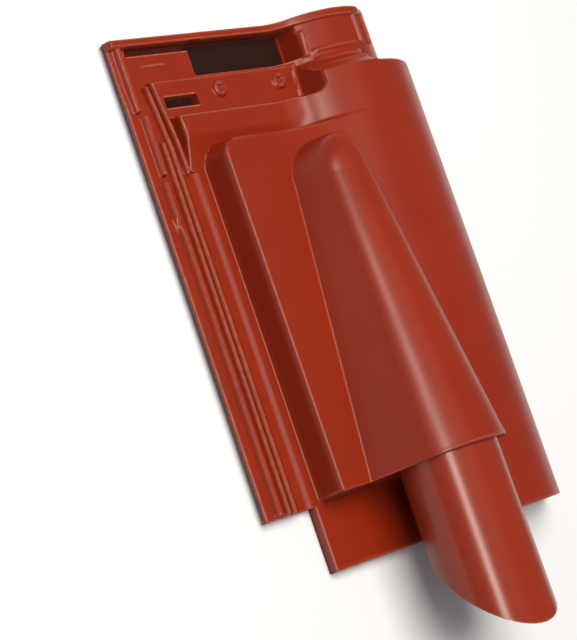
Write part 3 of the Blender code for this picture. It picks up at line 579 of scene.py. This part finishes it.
def softened(node, name, cuts):
    """A copy of a frame node with its sharp edges rounded, and cut lines that keep the painted edge highlight near
    the edges.
    """
    mesh = bmesh.new()
    mesh.from_mesh(nodes[node].data)
    bmesh.ops.remove_doubles(mesh, verts=mesh.verts[:], dist=1e-6)
    bmesh.ops.dissolve_limit(mesh, angle_limit=math.radians(1.0), verts=mesh.verts[:], edges=mesh.edges[:])
    sharp = [edge for edge in mesh.edges
             if len(edge.link_faces) == 2 and edge.calc_face_angle(0) > math.radians(SHARP_DEGREES)]
    bmesh.ops.bevel(mesh, geom=sharp, offset=SOFT_EDGE, offset_type="OFFSET", segments=SOFT_STEPS, profile=0.5,
                    affect="EDGES", material=-1, clamp_overlap=True)
    for point, normal in cuts:
        geometry = mesh.verts[:] + mesh.edges[:] + mesh.faces[:]
        bmesh.ops.bisect_plane(mesh, geom=geometry, plane_co=INTO_FRAME @ Vector(point), plane_no=normal)
    data = bpy.data.meshes.new(name)
    mesh.to_mesh(data)
    mesh.free()
    data.polygons.foreach_set("use_smooth", [True] * len(data.polygons))
    data.set_sharp_from_angle(angle=math.radians(40))
    piece = bpy.data.objects.new(name, data)
    bpy.context.scene.collection.objects.link(piece)
    print(f"{name}: {len(data.polygons)} faces, {len(sharp)} edges rounded")
    return piece


slant = (0.0, 1.0, 1.0)
tube_cuts = [((HOOD_X, -OUTLET_REACH + inset, TUBE_Z + TUBE_R + 0.8), slant) for inset in (1.6, 3.4)]
tube_cuts += [((HOOD_X, y, TUBE_Z), (0.0, 1.0, 0.0)) for y in (8.0, 20.0, 32.0, 44.0, 49.0, 52.0, 59.0)]
tube = softened("outlet_tube", "tube_pipe", tube_cuts)
lip_cuts = [((HOOD_X + x, 0.0, TUBE_Z), (1.0, 0.0, 0.0)) for x in range(-35, 36, 5)]
lip_cuts += [((HOOD_X, 0.0, TUBE_Z + z), (0.0, 0.0, 1.0)) for z in range(-35, 36, 5)]
lip = softened("outlet_lip", "lip_plate", lip_cuts)

# %% [markdown]
# Painted light follows the shape. So each vertex of a piece carries two marks: how sharply the surface bends
# outwards there, where a pale painted highlight lines the edge, and how deep it lies in a pocket, where painted
# shade darkens it.
# %% Marks for painted edge highlights and painted shade in pockets
HIGHLIT_FROM, HIGHLIT_OVER = 0.32, 0.8


def marked(piece, deep_at=None):
    data = piece.data
    count = len(data.vertices)
    co = np.empty(count * 3)
    data.vertices.foreach_get("co", co)
    co = co.reshape(-1, 3) * 1000
    normal = np.array([v.vector for v in data.vertex_normals])
    ends = np.empty(len(data.edges) * 2, dtype=int)
    data.edges.foreach_get("vertices", ends)
    a, b = ends.reshape(-1, 2).T
    step = co[b] - co[a]
    bend = np.sum((normal[b] - normal[a]) * step, axis=1) / np.maximum(np.sum(step * step, axis=1), 0.04)
    most = np.zeros(count)
    np.maximum.at(most, a, bend)
    np.maximum.at(most, b, bend)
    # Share of painted edge highlight, from how sharply the surface bends outwards.
    edge = np.clip((most - HIGHLIT_FROM) / HIGHLIT_OVER, 0, 1)
    deep = deep_at(co + np.array(ORIGIN)) if deep_at else np.zeros(count)
    for name, values in (("edge", edge), ("deep", deep)):
        data.attributes.new(name, "FLOAT", "POINT").data.foreach_set("value", values.astype(np.float32))
    print(f"{piece.name}: {count} vertices, {int((edge > 0.5).sum())} on worn edges")


# How far a spot lies down in the lug pocket, the slot and the groove: there the material paints the colour dark as
# shade.
def deep_in_tile(place):
    x, y, z = place.T
    pocket = eased(inside_box(x, y, (POCKET_X[0], 178), POCKET_Y, 0.5)) * eased((15 - z) / 6)
    slot = eased(inside_box(x, y, (SLOT_X[0], 67), SLOT_Y, 0.5)) * eased((12 - z) / 5)
    groove = 0.8 * eased(inside_box(x, y, GROOVE_X, GROOVE_Y, 0.5)) * eased((8 - z) / 3)
    return np.maximum.reduce([pocket, slot, groove])


marked(tile, deep_in_tile)
marked(tube)
marked(lip)

# %% [markdown]
# A material is a small network of nodes. These helpers name its usual steps, so that the effect below reads as a
# recipe: noise for a pattern, blend for two colours, sums for a calculation and remap for another range.
# %% Helpers for nodes


def link(tree, source, socket, target, entry):
    tree.links.new(source.outputs[socket], target.inputs[entry])


def noise(tree, scale, detail, name):
    node = tree.nodes.new("ShaderNodeTexNoise")
    node.name = name
    node.inputs["Scale"].default_value = scale
    node.inputs["Detail"].default_value = detail
    return node


def blend(tree, factor, first, second):
    node = tree.nodes.new("ShaderNodeMix")
    node.data_type = "RGBA"
    tree.links.new(factor, node.inputs["Factor"])
    tree.links.new(first, node.inputs["A"])
    tree.links.new(second, node.inputs["B"])
    return node.outputs["Result"]


def sums(tree, operation, first, second):
    node = tree.nodes.new("ShaderNodeMath")
    node.operation = operation
    for entry, value in zip(node.inputs, (first, second)):
        if isinstance(value, float):
            entry.default_value = value
        else:
            tree.links.new(value, entry)
    return node.outputs["Value"]


def remap(tree, value, low, high, to_low, to_high):
    node = tree.nodes.new("ShaderNodeMapRange")
    for name, number in (("From Min", low), ("From Max", high), ("To Min", to_low), ("To Max", to_high)):
        node.inputs[name].default_value = number
    tree.links.new(value, node.inputs["Value"])
    return node.outputs["Result"]


print("five helpers for nodes")

# %% [markdown]
# One red plastic in three finishes. The mould gives the tile a fine satin grain, the die gives the pipe faint
# streaks along its length, and both are a little cloudy because the pigment never mixes quite evenly. What the
# finishes share is one group of nodes, whose inputs take the values of each.
# %% Moulded plastic as a shared effect
# Besides the plastic's own tone, the group paints a pale highlight on bent edges and dark shade in pockets.
plastic_effect = bpy.data.node_groups.new("coloured_plastic", "ShaderNodeTree")
ports = plastic_effect.interface
for name, kind in (("Place", "NodeSocketVector"), ("Colour", "NodeSocketColor"), ("Clouded", "NodeSocketColor"),
                   ("Edge highlight", "NodeSocketColor"), ("Painted shade", "NodeSocketColor"), ("Roughness", "NodeSocketFloat"),
                   ("Streaks", "NodeSocketFloat"), ("Edge", "NodeSocketFloat"), ("Deep", "NodeSocketFloat")):
    ports.new_socket(name, in_out="INPUT", socket_type=kind)
for name, kind in (("Colour", "NodeSocketColor"), ("Roughness", "NodeSocketFloat"), ("Grain", "NodeSocketFloat")):
    ports.new_socket(name, in_out="OUTPUT", socket_type=kind)
given = plastic_effect.nodes.new("NodeGroupInput")
made = plastic_effect.nodes.new("NodeGroupOutput")
clouds = noise(plastic_effect, 17.0, 3.0, "clouds")
specks = noise(plastic_effect, 240.0, 2.0, "specks")
grain = noise(plastic_effect, 1300.0, 2.0, "grain")
stretch = plastic_effect.nodes.new("ShaderNodeMapping")
stretch.inputs["Scale"].default_value = (1.0, 0.06, 1.0)
streaks = noise(plastic_effect, 180.0, 3.0, "streaks")
for node in (clouds, specks, grain):
    link(plastic_effect, given, "Place", node, "Vector")
link(plastic_effect, given, "Place", stretch, "Vector")
link(plastic_effect, stretch, "Vector", streaks, "Vector")
cloudy = remap(plastic_effect, clouds.outputs["Fac"], 0.35, 0.65, 0.0, 1.0)
colour = blend(plastic_effect, cloudy, given.outputs["Colour"], given.outputs["Clouded"])
# Painted highlight: a pale colour on sharply bent edges, broken up by specks.
patchy = remap(plastic_effect, specks.outputs["Fac"], 0.3, 0.7, 0.45, 1.0)
highlit = sums(plastic_effect, "MULTIPLY", given.outputs["Edge"], patchy)
colour = blend(plastic_effect, highlit, colour, given.outputs["Edge highlight"])
# Painted shade: a dark colour laid into the pocket, the slot and the groove.
colour = blend(plastic_effect, given.outputs["Deep"], colour, given.outputs["Painted shade"])
plastic_effect.links.new(colour, made.inputs["Colour"])
streaky = sums(plastic_effect, "MULTIPLY", sums(plastic_effect, "SUBTRACT", streaks.outputs["Fac"], 0.5),
               given.outputs["Streaks"])
rough = sums(plastic_effect, "ADD", given.outputs["Roughness"], streaky)
rough = sums(plastic_effect, "ADD", rough, sums(plastic_effect, "MULTIPLY", given.outputs["Deep"], 0.4))
rough = sums(plastic_effect, "ADD", rough, remap(plastic_effect, clouds.outputs["Fac"], 0.3, 0.7, -0.02, 0.03))
plastic_effect.links.new(rough, made.inputs["Roughness"])
plastic_effect.links.new(sums(plastic_effect, "ADD", grain.outputs["Fac"], streaky), made.inputs["Grain"])
print("coloured_plastic:", len(plastic_effect.nodes), "nodes")

# %% [markdown]
# Each material hands its own colours and numbers to the effect, and keeps its shader outside it. The pipe is the
# smoothest, because it slides out of a polished die, and so it shows the sharpest stripe of light.
# %% Finishes
# Painted shade: the dark colour for the pocket, the slot and the groove.
PAINTED_SHADE = (0.018, 0.0025, 0.001)
# Painted highlights: the pale colours laid along the bent edges of each piece.
EDGE_HIGHLIGHT_TILE, EDGE_HIGHLIGHT_TUBE, EDGE_HIGHLIGHT_LIP = (0.50, 0.16, 0.10), (0.48, 0.13, 0.08), (0.48, 0.11, 0.055)


def plastic(name, colour, clouded, edge_highlight, roughness, streaks, grain, shine):
    material = bpy.data.materials.new(name)
    material.use_nodes = True
    tree = material.node_tree
    shader = tree.nodes["Principled BSDF"]
    effect = tree.nodes.new("ShaderNodeGroup")
    effect.node_tree = plastic_effect
    for entry, value in (("Colour", (*colour, 1)), ("Clouded", (*clouded, 1)), ("Edge highlight", (*edge_highlight, 1)),
                         ("Painted shade", (*PAINTED_SHADE, 1)), ("Roughness", roughness), ("Streaks", streaks)):
        effect.inputs[entry].default_value = value
    place = tree.nodes.new("ShaderNodeTexCoord")
    link(tree, place, "Object", effect, "Place")
    for mark_name, entry in (("edge", "Edge"), ("deep", "Deep")):
        mark = tree.nodes.new("ShaderNodeAttribute")
        mark.attribute_name = mark_name
        link(tree, mark, "Fac", effect, entry)
    bump = tree.nodes.new("ShaderNodeBump")
    bump.inputs["Strength"].default_value = grain
    bump.inputs["Distance"].default_value = 0.0001
    link(tree, effect, "Grain", bump, "Height")
    link(tree, effect, "Colour", shader, "Base Color")
    link(tree, effect, "Roughness", shader, "Roughness")
    link(tree, bump, "Normal", shader, "Normal")
    shader.inputs["Specular IOR Level"].default_value = shine
    return material


tile.data.materials.append(plastic("tile_satin", (0.285, 0.0215, 0.0042), (0.262, 0.0190, 0.0037), EDGE_HIGHLIGHT_TILE,
                                   roughness=0.33, streaks=0.08, grain=0.14, shine=0.45))
tube.data.materials.append(plastic("tube_gloss", (0.300, 0.0255, 0.0060), (0.280, 0.0235, 0.0055), EDGE_HIGHLIGHT_TUBE,
                                   roughness=0.23, streaks=0.05, grain=0.06, shine=0.45))
lip.data.materials.append(plastic("lip_satin", (0.285, 0.018, 0.0032), (0.262, 0.016, 0.0029), EDGE_HIGHLIGHT_LIP,
                                  roughness=0.40, streaks=0.08, grain=0.14, shine=0.45))
print("finishes:", [piece.data.materials[0].name for piece in (tile, tube, lip)])

# %% [markdown]
# Each piece stands for one node of the frame, whose solid is hidden, and rides on the part's only body.
# That is what makes the fine pieces and the plain solids one object.
# %% Places in the frame
for piece, node, slot in ((tile, "vent_tile", "tile_plastic"), (tube, "outlet_tube", "tube_plastic"),
                          (lip, "outlet_lip", "lip_plastic")):
    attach(piece, "root")
    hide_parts(node)
    print(piece.name, "stands for", node)

# %% [markdown]
# The floor looks white, but lights the tile less than white paper would, like a floor that ends close behind it.
# A light path node tells the two apart: it answers whether the light being followed is scattered evenly.
# %% Floor
FLOOR_SEEN, FLOOR_AS_LIGHT = (0.90, 0.92, 0.97, 1), (0.40, 0.40, 0.40, 1)
bpy.ops.mesh.primitive_plane_add(size=12, location=(0, 0, -0.0005))
floor = bpy.context.object
floor.name = "floor"
floor_finish = bpy.data.materials.new("floor_paper")
floor_finish.use_nodes = True
paper = floor_finish.node_tree
paper_shader = paper.nodes["Principled BSDF"]
paper_shader.inputs["Roughness"].default_value = 0.9
light_path = paper.nodes.new("ShaderNodeLightPath")
tone = paper.nodes.new("ShaderNodeMix")
tone.data_type = "RGBA"
tone.inputs["A"].default_value = FLOOR_SEEN
tone.inputs["B"].default_value = FLOOR_AS_LIGHT
link(paper, light_path, "Is Diffuse Ray", tone, "Factor")
paper.links.new(tone.outputs["Result"], paper_shader.inputs["Base Color"])
floor.data.materials.append(floor_finish)
print("floor:", floor.dimensions[0], "m wide")

# %% [markdown]
# Plain studio light. The wide soft box above gives the even light and stays out of reflections. The narrow one at
# the left works only in reflections, and draws the bright stripes along the hood and the tube. A weak even
# surround fills the shadows.
# %% Light
LAMP_COLOUR = (1.0, 0.95, 0.86)
SURROUND = 0.22


def soft_box(name, direction, distance, size, power):
    """An area lamp that faces the middle of the tile, with its long side up the slope."""
    lamp = bpy.data.lights.new(name, "AREA")
    lamp.color = LAMP_COLOUR
    lamp.shape = "RECTANGLE"
    lamp.size, lamp.size_y = size
    lamp.energy = power
    holder = bpy.data.objects.new(name, lamp)
    toward = Vector(direction).normalized()
    along = (Vector((0, 1, 0)) - toward * toward.y).normalized()
    facing = Matrix((along.cross(toward), along, toward)).transposed().to_4x4()
    holder.matrix_world = Matrix.Translation(toward * distance) @ facing
    bpy.context.scene.collection.objects.link(holder)
    return holder


key = soft_box("key", (-0.16, 0.22, 0.96), 2.2, (1.9, 1.9), 60)
key.visible_glossy = False
strip = soft_box("strip", (-0.645, -0.12, 0.755), 1.9, (0.36, 2.2), 33)
strip.visible_diffuse = False
world = bpy.data.worlds.new("surround")
world.use_nodes = True
world.node_tree.nodes["Background"].inputs["Color"].default_value = (1, 1, 1, 1)
world.node_tree.nodes["Background"].inputs["Strength"].default_value = SURROUND
bpy.context.scene.world = world
print("lamps:", key.name, strip.name)

# %% [markdown]
# The camera was found from the tile's straight edges in the photograph, so the sizes above fall on the same
# places in the picture. Its axes are written out, and a long lens keeps the edges nearly parallel.
# %% Camera and sizes
CAMERA_PLACE = (-1.0822, -0.1520, 1.1414)
CAMERA_RIGHT = Vector((0.72768, -0.32407, 0.60453))
CAMERA_UP = Vector((0.17167, 0.93934, 0.29692))
CAMERA_BACK = Vector((-0.66409, -0.11228, 0.73917))
camera_data = bpy.data.cameras.new("camera")
camera_data.sensor_width = 36.0
camera_data.lens = 112.5
camera_data.clip_start = 0.05
camera = bpy.data.objects.new("camera", camera_data)
axes = Matrix((CAMERA_RIGHT, CAMERA_UP, CAMERA_BACK)).transposed().to_4x4()
camera.matrix_world = Matrix.Translation(CAMERA_PLACE) @ axes
bpy.context.scene.collection.objects.link(camera)
bpy.context.scene.camera = camera
bpy.context.scene.view_settings.view_transform = "Standard"
